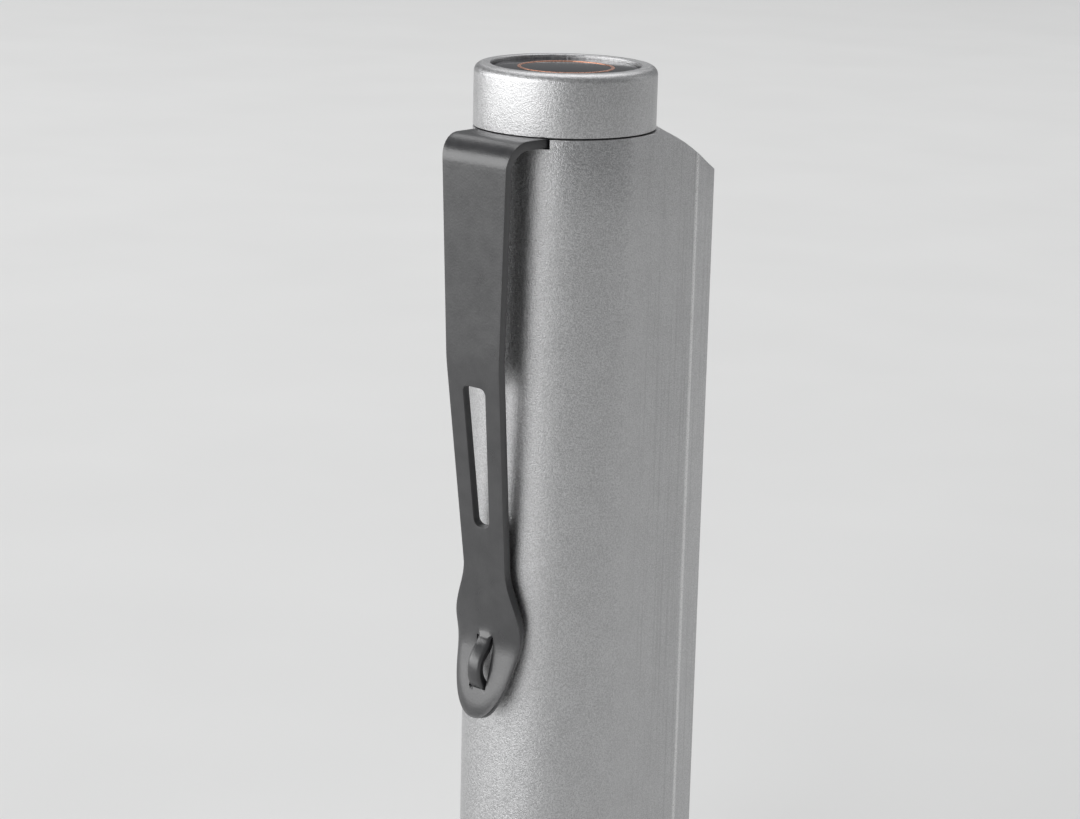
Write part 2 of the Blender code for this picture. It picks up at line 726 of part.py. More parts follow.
def clip_rows():
    """(reach, depth) of each row below the bend: each feature's own rows, then the path's."""
    tip_steps = 7
    own = even_steps(slot_top_depth, slot_top_depth + slot_corner, 2)
    own += even_steps(slot_top_depth + slot_corner, slot_bottom_depth - 2 * slot_corner, 5)[1:]
    own += [slot_bottom_depth - slot_corner * share for share in (0.8, 0.3, 0)]
    own += even_steps(strap_neck_depth, bead_depth, 6)
    own += even_steps(loop_top_depth, loop_bottom_depth, 8)
    own += [loop_bottom_depth + loop_to_tip * math.sin(math.pi / 2 * i / tip_steps)
            for i in range(1, tip_steps + 1)]
    path = clip_side_path()
    bend_rows = [point for point in path if point[1] < clip_kink_depth / 2]
    side = [(depth, reach) for reach, depth in path if depth > clip_bend_radius / 2]
    free = [depth for depth, reach in side if depth > clip_kink_depth / 2
            and min(abs(depth - other) for other in own) > slot_corner / 2]
    return bend_rows + [(between(depth, side), depth) for depth in sorted(own + free)]


def clip_columns(reach, depth, in_head):
    """The columns' distances from the middle, out to the crescent's horns in the head."""
    strap = strap_width(depth)
    inner = loop_half_width + loop_cut
    middle = loop_half_width
    if slot_top_depth <= depth <= slot_bottom_depth:
        inner = slot_width(depth)
        middle = inner / 2
    if strap < inner * 1.3:
        inner = strap * 0.6
        middle = strap * 0.4
    horn = reach * math.sin(clip_head_half_angle) if in_head else strap
    return [middle, inner, (inner + strap) / 2, strap, (strap + horn) / 2, horn]


def clip_open(row, depth, column, columns):
    """Whether the sheet is open below a row at this column, counted from the nearer edge."""
    from_edge = min(column, columns - 1 - column)
    if from_edge < 2:
        return row >= 1
    if slot_top_depth < depth < slot_bottom_depth:
        return from_edge >= 4
    return loop_top_depth < depth < loop_bottom_depth and from_edge == 4


def clip_point(reach, depth, x, middle, in_head):
    """A point of the outer face: the crescent and the bead both curve with the tube."""
    if in_head:
        return Vector((x, -math.sqrt(reach ** 2 - x ** 2), seam - depth))
    curve = ease(depth, strap_neck_depth, contact_depth) ** 2
    curve *= 1 - ease(depth, contact_depth, clip_tip_depth)
    rise = -bead_crown * curve * (x / strap_width(depth)) ** 2
    if loop_top_depth <= depth <= loop_bottom_depth and abs(x) <= middle:
        share = (depth - loop_top_depth) / (loop_bottom_depth - loop_top_depth)
        rise += loop_rise * math.sin(math.pi * share) ** 1.5
    return Vector((x, -(reach + rise), seam - depth))


def build_clip():
    wall_reach = seat_radius - seat_gap
    hinge = Vector((0, -(seat_radius + tube_radius) / 2, tab_top - clip_thickness / 2))
    head = [(wall_reach - clip_head_width, seam - tab_top), (wall_reach, seam - tab_top)]
    stations = head + clip_rows()
    work = bmesh.new()
    rows = []
    for row, (reach, depth) in enumerate(stations):
        in_head = row < len(head)
        offsets = clip_columns(reach, depth, in_head)
        across = [-x for x in reversed(offsets)] + [0.0] + offsets
        rows.append([work.verts.new(clip_point(reach, depth, x, offsets[0], in_head) - hinge)
                     for x in across])
    for row, (upper, lower) in enumerate(zip(rows, rows[1:])):
        depth = (stations[row][1] + stations[row + 1][1]) / 2
        for column in range(len(upper) - 1):
            if not clip_open(row, depth, column, len(upper) - 1):
                work.faces.new([upper[column], lower[column], lower[column + 1],
                                upper[column + 1]])
    loose = [v for v in work.verts if not v.link_faces]
    bmesh.ops.delete(work, geom=loose, context='VERTS')
    mesh = finish(work, "pocket_clip")
    if sum(face.normal.y * face.area for face in mesh.polygons) > 0:
        mesh.flip_normals()
    clip = place("pocket_clip", mesh, coated_steel)
    clip.location = hinge
    sheet = clip.modifiers.new("Sheet thickness", 'SOLIDIFY')
    sheet.thickness = clip_thickness
    sheet.offset = -1
    sheet.use_even_offset = True


def main():
    build_tube()
    build_cap()
    build_button()
    build_switch()
    build_cell()
    build_light_engine()
    build_bezel()
    build_clip()
    print(f"overall length {overall_length * 1000:.2f} mm, seam at {seam * 1000:.2f} mm")


main()
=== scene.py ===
import bmesh
import bpy
import json
import math
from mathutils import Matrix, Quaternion, Vector


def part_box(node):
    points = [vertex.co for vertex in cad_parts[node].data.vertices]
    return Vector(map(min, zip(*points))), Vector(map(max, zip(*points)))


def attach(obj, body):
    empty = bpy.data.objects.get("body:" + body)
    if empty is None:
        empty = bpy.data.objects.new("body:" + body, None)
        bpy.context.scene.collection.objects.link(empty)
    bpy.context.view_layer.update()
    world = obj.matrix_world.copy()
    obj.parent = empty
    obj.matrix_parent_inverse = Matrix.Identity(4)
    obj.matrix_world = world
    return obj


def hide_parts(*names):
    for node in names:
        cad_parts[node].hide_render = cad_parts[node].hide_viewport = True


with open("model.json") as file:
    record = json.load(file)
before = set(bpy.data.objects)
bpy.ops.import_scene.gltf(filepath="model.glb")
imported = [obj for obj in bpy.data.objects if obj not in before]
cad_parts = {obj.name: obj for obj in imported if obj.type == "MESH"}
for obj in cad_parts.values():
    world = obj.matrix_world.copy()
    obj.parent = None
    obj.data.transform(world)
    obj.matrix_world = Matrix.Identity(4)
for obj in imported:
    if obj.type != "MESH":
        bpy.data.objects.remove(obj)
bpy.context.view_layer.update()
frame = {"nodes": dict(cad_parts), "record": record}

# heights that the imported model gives, so that a piece always meets its neighbour
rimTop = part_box("body_tube")[1].z
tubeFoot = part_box("body_tube")[0].z
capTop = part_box("tail_cap")[1].z
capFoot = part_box("tail_cap")[0].z
discLow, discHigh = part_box("button_disc")
lensLow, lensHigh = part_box("front_lens")
seamGap = 0.00025
seam = rimTop + seamGap       # the joint between the tube and its cap
bezelTop = tubeFoot - seamGap
tiny = 1e-6                   # points nearer than this are the same


def deselectAll():
    if bpy.context.mode != "OBJECT":
        bpy.ops.object.mode_set(mode="OBJECT")
    bpy.ops.object.select_all(action="DESELECT")


def startPiece(name):
    # names the new primitive and opens it for editing
    piece = bpy.context.object
    piece.name = name
    piece.data.name = name
    bpy.ops.object.mode_set(mode="EDIT")
    return piece


def pickVerts(piece, test):
    # selects the vertices that pass the test, and the edges and faces between them
    work = bmesh.from_edit_mesh(piece.data)
    for vert in work.verts:
        vert.select = bool(test(vert.co))
    work.select_flush(False)
    work.select_flush(True)
    bmesh.update_edit_mesh(piece.data)


def moveSelected(piece, place):
    # puts each selected vertex where the rule says
    work = bmesh.from_edit_mesh(piece.data)
    for vert in work.verts:
        if vert.select:
            vert.co = place(vert.co)
    bmesh.update_edit_mesh(piece.data)


def tidyMesh(distance):
    # merges doubles and turns every face outward
    bpy.ops.mesh.select_all(action="SELECT")
    bpy.ops.mesh.remove_doubles(threshold=distance)
    bpy.ops.mesh.normals_make_consistent(inside=False)


def addModifier(piece, kind, **settings):
    # adds a modifier and applies it
    step = piece.modifiers.new(kind.title(), kind)
    for key, value in settings.items():
        setattr(step, key, value)
    bpy.context.view_layer.objects.active = piece
    bpy.ops.object.modifier_apply(modifier=step.name)


def smoothPiece(piece, degrees):
    deselectAll()
    piece.select_set(True)
    bpy.context.view_layer.objects.active = piece
    bpy.ops.object.shade_smooth_by_angle(angle=math.radians(degrees))


def softCorners(points, segments=5):
    # turns (radius, height, rounding) corners into plain points, with an arc at each corner
    soft = []
    for i, (r, z, rounding) in enumerate(points):
        here = Vector((r, z))
        if rounding == 0:
            soft.append(here)
            continue
        before = (Vector(points[i - 1][:2]) - here).normalized()
        after = (Vector(points[(i + 1) % len(points)][:2]) - here).normalized()
        half = before.angle(after) / 2
        middle = here + (before + after).normalized() * rounding / math.sin(half)
        start = here + before * rounding / math.tan(half) - middle
        end = here + after * rounding / math.tan(half) - middle
        for step in range(segments + 1):
            spoke = start.lerp(end, step / segments).normalized() * rounding
            soft.append(middle + spoke)
    return soft


def drawSection(name, x, z, steps):
    # starts a piece from one vertex and extrudes it along the given steps
    deselectAll()
    bpy.ops.mesh.primitive_plane_add(size=0.001)
    piece = startPiece(name)
    bpy.ops.mesh.merge(type="CENTER")
    bpy.ops.transform.translate(value=(x, 0, z))
    for across, up in steps:
        bpy.ops.mesh.extrude_region_move(TRANSFORM_OT_translate={"value": (across, 0, up)})
    return piece


def turnPiece(name, corners, steps=128, closed=True, segments=5):
    # draws a half section and spins it round the axis
    outline = softCorners(corners, segments)
    if closed:
        outline.append(outline[0])
    piece = drawSection(name, *outline[0],
                        [after - here for here, after in zip(outline, outline[1:])])
    bpy.ops.mesh.select_all(action="SELECT")
    bpy.ops.mesh.spin(steps=steps, angle=math.tau, center=(0, 0, 0), axis=(0, 0, 1))
    tidyMesh(tiny)
    bpy.ops.object.mode_set(mode="OBJECT")
    smoothPiece(piece, 32)
    return piece


def dress(piece, look, body, replaces=()):
    # gives a finished piece its material and the body it rides on, and hides the nodes it stands
    # for
    piece.data.materials.clear()
    piece.data.materials.append(look)
    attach(piece, body)
    if replaces:
        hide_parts(*replaces)


class Wire:
    # a socket that can be used in sums
    def __init__(self, look, socket):
        self.look = look
        self.socket = socket

    def __add__(self, other):
        return self.look.sum("ADD", self, other)

    def __radd__(self, other):
        return self.look.sum("ADD", other, self)

    def __sub__(self, other):
        return self.look.sum("SUBTRACT", self, other)

    def __rsub__(self, other):
        return self.look.sum("SUBTRACT", other, self)

    def __mul__(self, other):
        return self.look.sum("MULTIPLY", self, other)

    def __rmul__(self, other):
        return self.look.sum("MULTIPLY", other, self)

    def __gt__(self, other):
        return self.look.sum("GREATER_THAN", self, other)


class Look:
    # one material and the nodes that feed its Principled shader
    def __init__(self, name, colour, roughness, metallic=0.0, **constants):
        self.material = bpy.data.materials.new(name)
        self.material.use_nodes = True
        self.tree = self.material.node_tree
        self.shader = self.tree.nodes["Principled BSDF"]
        self.shader.inputs["Base Color"].default_value = (*colour, 1)
        self.shader.inputs["Roughness"].default_value = roughness
        self.shader.inputs["Metallic"].default_value = metallic
        for key, value in constants.items():
            self.shader.inputs[key.replace("_", " ")].default_value = value
        self.material.diffuse_color = (*colour, 1)
        self.place = self.node("ShaderNodeTexCoord", output="Object")

    def node(self, kind, settings=None, inputs=None, output=0):
        # adds a node, with its settings first and then its sockets
        made = self.tree.nodes.new(kind)
        for key, value in (settings or {}).items():
            setattr(made, key, value)
        for key, value in (inputs or {}).items():
            self.feed(made.inputs[key], value)
        return Wire(self, made.outputs[output])

    def feed(self, socket, value):
        # links a wire to the socket, or sets a plain value on it
        if isinstance(value, Wire):
            self.tree.links.new(value.socket, socket)
        else:
            socket.default_value = value

    def sum(self, operation, first, second):
        # one step of the sums that Wire's operators write
        return self.node("ShaderNodeMath", {"operation": operation}, {0: first, 1: second})

    def grain(self, size, detail=2.0, roughness=0.5, stretch=(1, 1, 1)):
        # noise whose blotches are about this many metres across
        place = self.node("ShaderNodeMapping", None, {"Vector": self.place, "Scale": stretch})
        return self.node("ShaderNodeTexNoise", None, {
            "Vector": place, "Scale": 1 / size, "Detail": detail, "Roughness": roughness}, "Fac")

    def ramp(self, value, low, high, start=0.0, end=1.0):
        # start up to low, end from high on, and a straight line between them
        return self.node("ShaderNodeMapRange", {"clamp": True}, {
            "Value": value, "From Min": low, "From Max": high, "To Min": start, "To Max": end},
            "Result")

    def positive(self, value):
        # the value without its sign
        return self.node("ShaderNodeMath", {"operation": "ABSOLUTE"}, {0: value})

    def near(self, value, middle, full, none):
        # 1 where the value is within full of the middle, falling to 0 at none
        return self.ramp(self.positive(value - middle), full, none, 1.0, 0.0)

    def blend(self, amount, first, second):
        # mixes two colours
        colours = [c if isinstance(c, Wire) else (*c, 1) for c in (first, second)]
        return self.node("ShaderNodeMix", {"data_type": "RGBA"},
                         {0: amount, 6: colours[0], 7: colours[1]}, 2)

    def axis(self, name):
        # the place along X, Y or Z
        return self.node("ShaderNodeSeparateXYZ", None, {0: self.place}, name)

    def bump(self, height, distance, strength, under=None):
        # height that shows only in the light, over another bump where one is given
        inputs = {"Height": height, "Distance": distance, "Strength": strength}
        if under:
            inputs["Normal"] = under
        return self.node("ShaderNodeBump", None, inputs, "Normal")

    def use(self, **wires):
        # links the wires to the shader's sockets, and gives the finished material
        for key, value in wires.items():
            self.feed(self.shader.inputs[key.replace("_", " ")], value)
        return self.material


blastedSet = {
    "light": (0.60, 0.60, 0.605),
    "dark": (0.42, 0.42, 0.425),
    "streakColour": (0.33, 0.33, 0.335),
    # the colour of the painted highlight along the keel's long edges
    "highlightColour": (0.80, 0.80, 0.80),
    "bead": 0.00013,
    "speck": 0.00026,
    "cloud": 0.0030,
    "line": 0.00030,
    "lineStretch": (1, 1, 0.012),  # the cutter's lines run along the tube
    "share": (0.60, 0.32, 0.08),   # of bead, speck and cloud in the tone
    "toneFrom": (0.41, 0.59),
    "streakFrom": (0.50, 0.68),
    "streakShare": 0.35,
    "smooth": 0.32,
    "rough": 0.46,
    "beadHeight": 0.00009,
    "lineHeight": 0.00003,
    "flatFrom": (0.0006, 0.0030),  # where the keel's flats begin, along Y
    "flatSide": (0.0086, 0.0096),  # and how far out they lie
    "flatEnd": 0.0111,
    "keelBack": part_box("body_tube")[1].y,
    # the painted highlight along the keel's long edges: its width at the side and back edges, its
    # share and how much glossier it is
    "endHighlight": (0.00012, 0.00045),  # full and fading, to each side of an edge
    "backHighlight": (0.00010, 0.00030),
    "highlightShare": 0.6,
    "highlightGloss": 0.12,
}


def blastedLook():
    # bead-blasted aluminium: a fine sparkle, a soft mottle and, on the keel's flats,
    # the faint upright lines of the cutter
    own = blastedSet
    look = Look("blastedAluminium", (0.50, 0.50, 0.505), 0.42, 1.0)
    bead = look.grain(own["bead"], 2.0, 0.6)
    speck = look.grain(own["speck"], 2.0, 0.6)
    cloud = look.grain(own["cloud"])
    lines = look.grain(own["line"], 3.0, 0.6, own["lineStretch"])
    side, back = look.positive(look.axis("X")), look.axis("Y")
    flat = look.ramp(back, *own["flatFrom"]) * look.ramp(side, *own["flatSide"])
    beadShare, speckShare, cloudShare = own["share"]
    tone = bead * beadShare + speck * speckShare + cloud * cloudShare
    shade = look.blend(look.ramp(tone, *own["toneFrom"]), own["dark"], own["light"])
    streak = flat * look.ramp(lines, *own["streakFrom"]) * own["streakShare"]
    shade = look.blend(streak, shade, own["streakColour"])
    rough = look.ramp(speck, 0.35, 0.65, own["smooth"], own["rough"]) + streak * 0.1
    normal = look.bump(bead * 0.5 + speck * 0.5, own["beadHeight"], 0.6)
    normal = look.bump(lines * flat, own["lineHeight"], 0.25, normal)
    # painted highlight: a lighter, glossier line is painted along the keel's four long edges,
    # where light would catch their small roundings
    paintedHighlight = look.near(back, own["flatEnd"], *own["endHighlight"]) * (side > own["flatSide"][1])
    paintedHighlight = paintedHighlight + look.near(back, own["keelBack"], *own["backHighlight"]) * (side > own["flatSide"][0])
    paintedHighlight = paintedHighlight * look.ramp(speck, 0.25, 0.55, 0.5, 1.0)
    shade = look.blend(paintedHighlight * own["highlightShare"], shade, own["highlightColour"])
    return look.use(Base_Color=shade, Roughness=rough - paintedHighlight * own["highlightGloss"], Normal=normal)


coatSet = {
    "light": (0.026, 0.026, 0.028),
    "dark": (0.015, 0.015, 0.017),
    "peel": 0.00026,
    "peelHeight": 0.000035,
    "wear": 0.0020,
    "smooth": 0.25,
    "rough": 0.34,
}


def coatedLook():
    # satin black coat on spring steel, thin and a little shiny where it is handled
    own = coatSet
    look = Look("coatedSteel", (0.020, 0.020, 0.022), 0.32, Specular_IOR_Level=1.0)
    peel = look.grain(own["peel"])
    wear = look.grain(own["wear"], 4.0, 0.6)
    shade = look.blend(look.ramp(wear, 0.35, 0.75), own["dark"], own["light"])
    rough = look.ramp(wear, 0.3, 0.7, own["smooth"], own["rough"]) + peel * 0.05
    return look.use(Base_Color=shade, Roughness=rough,
                    Normal=look.bump(peel, own["peelHeight"], 0.4))


glossSet = {
    "light": (0.012, 0.012, 0.018),
    "dark": (0.006, 0.006, 0.010),
    "haze": 0.0012,
    "smooth": 0.05,
    "rough": 0.11,
}


def glossLook():
    # the button's dark, polished disc
    own = glossSet
    look = Look("darkGlass", (0.008, 0.008, 0.012), 0.07, Specular_IOR_Level=0.1)
    haze = look.grain(own["haze"], 3.0)
    shade = look.blend(look.ramp(haze, 0.35, 0.7), own["dark"], own["light"])
    return look.use(Base_Color=shade,
                    Roughness=look.ramp(haze, 0.3, 0.7, own["smooth"], own["rough"]))


copperSet = {
    "light": (0.90, 0.46, 0.31),
    "dark": (0.74, 0.33, 0.21),
    "grain": 0.0002,
    "smooth": 0.22,
    "rough": 0.32,
}


def copperLook(name):
    own = copperSet
    look = Look(name, (0.85, 0.40, 0.26), 0.26, 1.0)
    fine = look.grain(own["grain"])
    shade = look.blend(look.ramp(fine, 0.3, 0.7), own["dark"], own["light"])
    return look.use(Base_Color=shade,
                    Roughness=look.ramp(fine, 0.3, 0.7, own["smooth"], own["rough"]))


turnedSet = {"ring": 0.00016, "stretch": (0.03, 0.03, 1), "ringHeight": 0.000008}


def turnedLook(name, light, dark, roughness):
    # metal off the lathe: fine rings round the axis
    own = turnedSet
    look = Look(name, light, roughness, 1.0)
    rings = look.grain(own["ring"], stretch=own["stretch"])
    shade = look.blend(look.ramp(rings, 0.35, 0.65), dark, light)
    rough = look.ramp(rings, 0.3, 0.7, roughness - 0.05, roughness + 0.07)
    return look.use(Base_Color=shade, Roughness=rough,
                    Normal=look.bump(rings, own["ringHeight"], 0.4))


mouldedSet = {"grain": 0.0003, "boardGrain": 0.0006, "wrapGrain": 0.0010, "height": 0.00001}


def mouldedLook(name, light, dark, roughness, grain="grain", coat=0.0):
    # rubber, plastic and solder mask: a fine even texture
    own = mouldedSet
    look = Look(name, light, roughness, Coat_Weight=coat)
    fine = look.grain(own[grain], 3.0, 0.55)
    shade = look.blend(look.ramp(fine, 0.3, 0.7), dark, light)
    rough = look.ramp(fine, 0.3, 0.7, roughness - 0.06, roughness + 0.06)
    return look.use(Base_Color=shade, Roughness=rough,
                    Normal=look.bump(fine, own["height"], 0.3))


lensSet = {"colour": (0.97, 0.98, 1.0), "refraction": 1.46, "smear": 0.004,
           "smooth": 0.01, "rough": 0.05}


def lensLook():
    # clear glass with the faintest smear
    own = lensSet
    look = Look("clearGlass", own["colour"], 0.02, Transmission_Weight=1.0,
                IOR=own["refraction"])
    smear = look.grain(own["smear"], 3.0)
    return look.use(Roughness=look.ramp(smear, 0.4, 0.8, own["smooth"], own["rough"]))


mirrorSet = {"colour": (0.93, 0.93, 0.94), "wave": 0.0009, "waveHeight": 0.00001,
             "smooth": 0.03, "rough": 0.09}


def mirrorLook():
    # the cup's metal coat, not quite even
    own = mirrorSet
    look = Look("mirrorCoat", own["colour"], 0.05, 1.0)
    wave = look.grain(own["wave"])
    return look.use(Roughness=look.ramp(wave, 0.3, 0.7, own["smooth"], own["rough"]),
                    Normal=look.bump(wave, own["waveHeight"], 0.15))


phosphorSet = {"light": (0.93, 0.77, 0.20), "dark": (0.80, 0.56, 0.07), "speck": 0.00012}


def phosphorLook():
    # the yellow of the LED under its clear dome
    own = phosphorSet
    look = Look("phosphor", (0.86, 0.66, 0.10), 0.25, Coat_Weight=0.8)
    speck = look.grain(own["speck"], 2.0, 0.6)
    return look.use(Base_Color=look.blend(look.ramp(speck, 0.3, 0.7), own["dark"], own["light"]))


# by material slot; the colours are a light and a dark shade
looks = {
    "blasted_aluminium": blastedLook(),
    "coated_steel": coatedLook(),
    "dark_glass": glossLook(),
    "plain_aluminium": turnedLook("plainAluminium", (0.74, 0.74, 0.75), (0.62, 0.62, 0.63), 0.28),
    "clear_glass": lensLook(),
    "mirror_coat": mirrorLook(),
    "black_rubber": mouldedLook("blackRubber", (0.026, 0.026, 0.028), (0.016, 0.016, 0.017), 0.62),
    "black_plastic": mouldedLook("blackPlastic", (0.035, 0.035, 0.037), (0.024, 0.024, 0.026),
                                 0.42),
    "white_plastic": mouldedLook("whitePlastic", (0.86, 0.86, 0.84), (0.78, 0.78, 0.76), 0.45),
    "brass": turnedLook("brass", (0.78, 0.60, 0.29), (0.66, 0.49, 0.22), 0.27),
    "spring_steel": turnedLook("springSteel", (0.68, 0.67, 0.65), (0.56, 0.55, 0.53), 0.24),
    "circuit_board": mouldedLook("circuitBoard", (0.025, 0.16, 0.07), (0.014, 0.11, 0.045), 0.38,
                                 "boardGrain", 0.4),
    "white_board": mouldedLook("whiteBoard", (0.88, 0.88, 0.86), (0.82, 0.82, 0.80), 0.36,
                               "boardGrain", 0.3),
    "phosphor": phosphorLook(),
    "cell_wrap": mouldedLook("cellWrap", (0.055, 0.13, 0.32), (0.040, 0.10, 0.26), 0.30,
                             "wrapGrain", 0.5),
    "copper_wire": copperLook("copperWire"),
}
print("looks made:", len(looks))


tubeSize = {
    "radius": 0.0100,
    "roundSteps": 144,
    "flatReach": 0.0111,          # how far back the parallel sides run
    "keelReach": 0.0157,
    "keelHalfWidth": 0.00895,
    "sideCut": 0.00014,           # soft edge between flat and taper
    "backCut": 0.00034,
    "longEdge": 0.0015,           # straight edges above this length are cut into short ones
    "longCuts": 15,
    "lowerBand": 0.0150,          # plain rings past the shoulders, this far in from the ends
    "upperBand": 0.0100,
    "shoulder": math.tan(math.radians(34.5)),
    "shoulderCrown": 0.00040,     # how far a shoulder stands out over a straight cone
    "crownReach": 0.0072,
    "shoulderSteps": 10,
    "seatRadius": 0.0094,
    "seatDepth": 0.0014,          # below the rim, down to the clip's seat
    "mouthRadius": 0.0084,
    "mouthDepth": 0.0150,
    "boreRadius": 0.0076,
    "headRadius": 0.0092,
    "headDepth": 0.0200,
    "edge": 0.00006,
    "notchHalfWidth": 0.0052,
    "notchDepth": 0.00130,        # below the seam
    "notchHeight": 0.0050,        # of the block that cuts it
    "notchReach": 0.0060,
    "bevelAngle": math.radians(40),
    "smoothDegrees": 30,
}


def shoulderDrop(distance):
    # a shoulder's distance from the joint line: a turned cone with a slight crown
    past = max(distance - tubeSize["radius"], 0)
    share = min(past / tubeSize["crownReach"], 1)
    crown = tubeSize["shoulderCrown"] * math.sin(math.pi * share) ** 2
    return past * tubeSize["shoulder"] - crown


def upperEnd(distance):
    return min(rimTop, seam - shoulderDrop(distance))


def lowerEnd(distance):
    return max(tubeFoot, bezelTop + shoulderDrop(distance))


def shoulderRings(height):
    # rings over the shoulder, from the keel's corners in to the rim
    rim, steps = tubeSize["radius"], tubeSize["shoulderSteps"]
    while shoulderDrop(rim) < seamGap:
        rim += tiny
    start = math.hypot(tubeSize["keelHalfWidth"], tubeSize["keelReach"])
    return [(rim + (start - rim) * share / steps, height) for share in range(steps - 1, -1, -1)]


def growInward(piece, rings):
    # extrudes the selected ring of edges in to each radius and height;
    # where the height is a rule, points that are already inside stay
    def ringAt(radius, height):
        def place(co):
            reach = min(co.xy.length, radius) if callable(height) else radius
            flat = co.xy.normalized() * reach
            return Vector((flat.x, flat.y, height(reach) if callable(height) else height))
        return place

    for radius, height in rings:
        bpy.ops.mesh.extrude_region_move(TRANSFORM_OT_translate={"value": (0, 0, 0)})
        moveSelected(piece, ringAt(radius, height))


def drawOutline(tube):
    # from a full circle to the round half with the keel's sides, flats and back
    size = tubeSize
    r, reach = size["radius"], size["flatReach"]
    half, keel = size["keelHalfWidth"], size["keelReach"]
    pickVerts(tube, lambda co: co.y > tiny)
    bpy.ops.mesh.delete(type="VERT")
    # the two points nearest to the notch's sides move onto them
    notch = size["notchHalfWidth"]
    near = math.pi * r / size["roundSteps"] * math.sqrt(1 - (notch / r) ** 2)
    pickVerts(tube, lambda co: abs(abs(co.x) - notch) < near)
    moveSelected(tube, lambda co: Vector((math.copysign(notch, co.x),
                                          -math.sqrt(r * r - notch * notch), 0)))
    pickVerts(tube, lambda co: co.x > r - tiny)
    for corner in ((r, reach), (half, keel), (-half, keel), (-r, reach), (-r, 0)):
        work = bmesh.from_edit_mesh(tube.data)
        here = next(v.co for v in work.verts if v.select)
        step = (corner[0] - here.x, corner[1] - here.y, 0)
        bpy.ops.mesh.extrude_region_move(TRANSFORM_OT_translate={"value": step})
    bpy.ops.mesh.select_all(action="SELECT")
    bpy.ops.mesh.remove_doubles(threshold=tiny)
    pickVerts(tube, lambda co: co.y > keel - tiny)
    bpy.ops.mesh.bevel(offset=size["backCut"], segments=6, affect="VERTICES")
    pickVerts(tube, lambda co: abs(co.y - reach) < tiny)
    bpy.ops.mesh.bevel(offset=size["sideCut"], segments=4, affect="VERTICES")
    work = bmesh.from_edit_mesh(tube.data)
    for edge in work.edges:
        edge.select = edge.calc_length() > size["longEdge"]
    bmesh.update_edit_mesh(tube.data)
    bpy.ops.mesh.subdivide(number_cuts=size["longCuts"])


def buildTube():
    size = tubeSize
    deselectAll()
    bpy.ops.mesh.primitive_circle_add(vertices=size["roundSteps"], radius=size["radius"])
    tube = startPiece("bodyTube")
    drawOutline(tube)
    # the outer skin, cut by the shoulders at both ends
    bpy.ops.mesh.select_all(action="SELECT")
    lower, upper = size["lowerBand"], size["upperBand"]
    for height in (lower, seam - lower - upper, upper):
        bpy.ops.mesh.extrude_region_move(TRANSFORM_OT_translate={"value": (0, 0, height)})
    moveSelected(tube, lambda co: Vector((co.x, co.y, upperEnd(co.xy.length))))
    seat, mouth = rimTop - size["seatDepth"], rimTop - size["mouthDepth"]
    growInward(tube, [*shoulderRings(upperEnd), (size["seatRadius"], rimTop),
                      (size["seatRadius"], seat), (size["mouthRadius"], seat),
                      (size["mouthRadius"], mouth), (size["boreRadius"], mouth)])
    boreEnd = [v.index for v in bmesh.from_edit_mesh(tube.data).verts if v.select]
    pickVerts(tube, lambda co: abs(co.z) < tiny)
    moveSelected(tube, lambda co: Vector((co.x, co.y, lowerEnd(co.xy.length))))
    head = tubeFoot + size["headDepth"]
    growInward(tube, [*shoulderRings(lowerEnd), (size["headRadius"], tubeFoot),
                      (size["headRadius"], head), (size["boreRadius"], head)])
    # the bore joins the two ends
    work = bmesh.from_edit_mesh(tube.data)
    for vert in work.verts:
        if vert.index in boreEnd:
            vert.select = True
    work.select_flush(True)
    bmesh.update_edit_mesh(tube.data)
    bpy.ops.mesh.bridge_edge_loops()
    tidyMesh(2 * tiny)
    bpy.ops.object.mode_set(mode="OBJECT")
    addModifier(tube, "BEVEL", width=size["edge"], segments=2, limit_method="ANGLE",
                angle_limit=size["bevelAngle"], use_clamp_overlap=False)
    cutNotch(tube)
    smoothPiece(tube, size["smoothDegrees"])
    return tube


def cutNotch(tube):
    # the window in the rim that the clip comes out through
    size = tubeSize
    low = seam - size["notchDepth"]
    deselectAll()
    bpy.ops.mesh.primitive_cube_add(
        size=1, location=(0, -size["radius"], low + size["notchHeight"] / 2))
    cutter = bpy.context.object
    cutter.scale = (2 * size["notchHalfWidth"], size["notchReach"], size["notchHeight"])
    bpy.ops.object.transform_apply(location=True, rotation=False, scale=True)
    addModifier(tube, "BOOLEAN", operation="DIFFERENCE", solver="EXACT", object=cutter)
    bpy.data.objects.remove(cutter)
    bpy.ops.object.mode_set(mode="EDIT")
    bpy.ops.mesh.select_all(action="SELECT")
    bpy.ops.mesh.dissolve_degenerate(threshold=tiny)
    bpy.ops.object.mode_set(mode="OBJECT")


dress(buildTube(), looks["blasted_aluminium"], "tube", ["body_tube"])
print("body tube made")


capSize = {
    "radius": 0.0100,
    "rimRound": 0.00095,
    "lowerEdge": 0.00007,        # below the seam plane, for a fine joint line
    "lipRound": 0.00005,
    "recessRadius": 0.0082,
    "recessRound": 0.00018,
    "floorDrop": 0.00135,        # the recess's floor below the disc
    "floorRound": 0.0002,
    "floorThickness": 0.0034,
    "stemHole": 0.0033,
    "holeRound": 0.0001,
    "skirtRadius": 0.0081,
    "skirtBore": 0.0062,
    "boreStep": 0.0031,          # above the skirt's foot
    "innerBore": 0.0053,
    "footRound": 0.0003,
    "grooveDrop": 0.0036,
    "grooveHalf": 0.0007,
    "grooveRadius": 0.0070,
    "grooveRound": 0.00008,
}


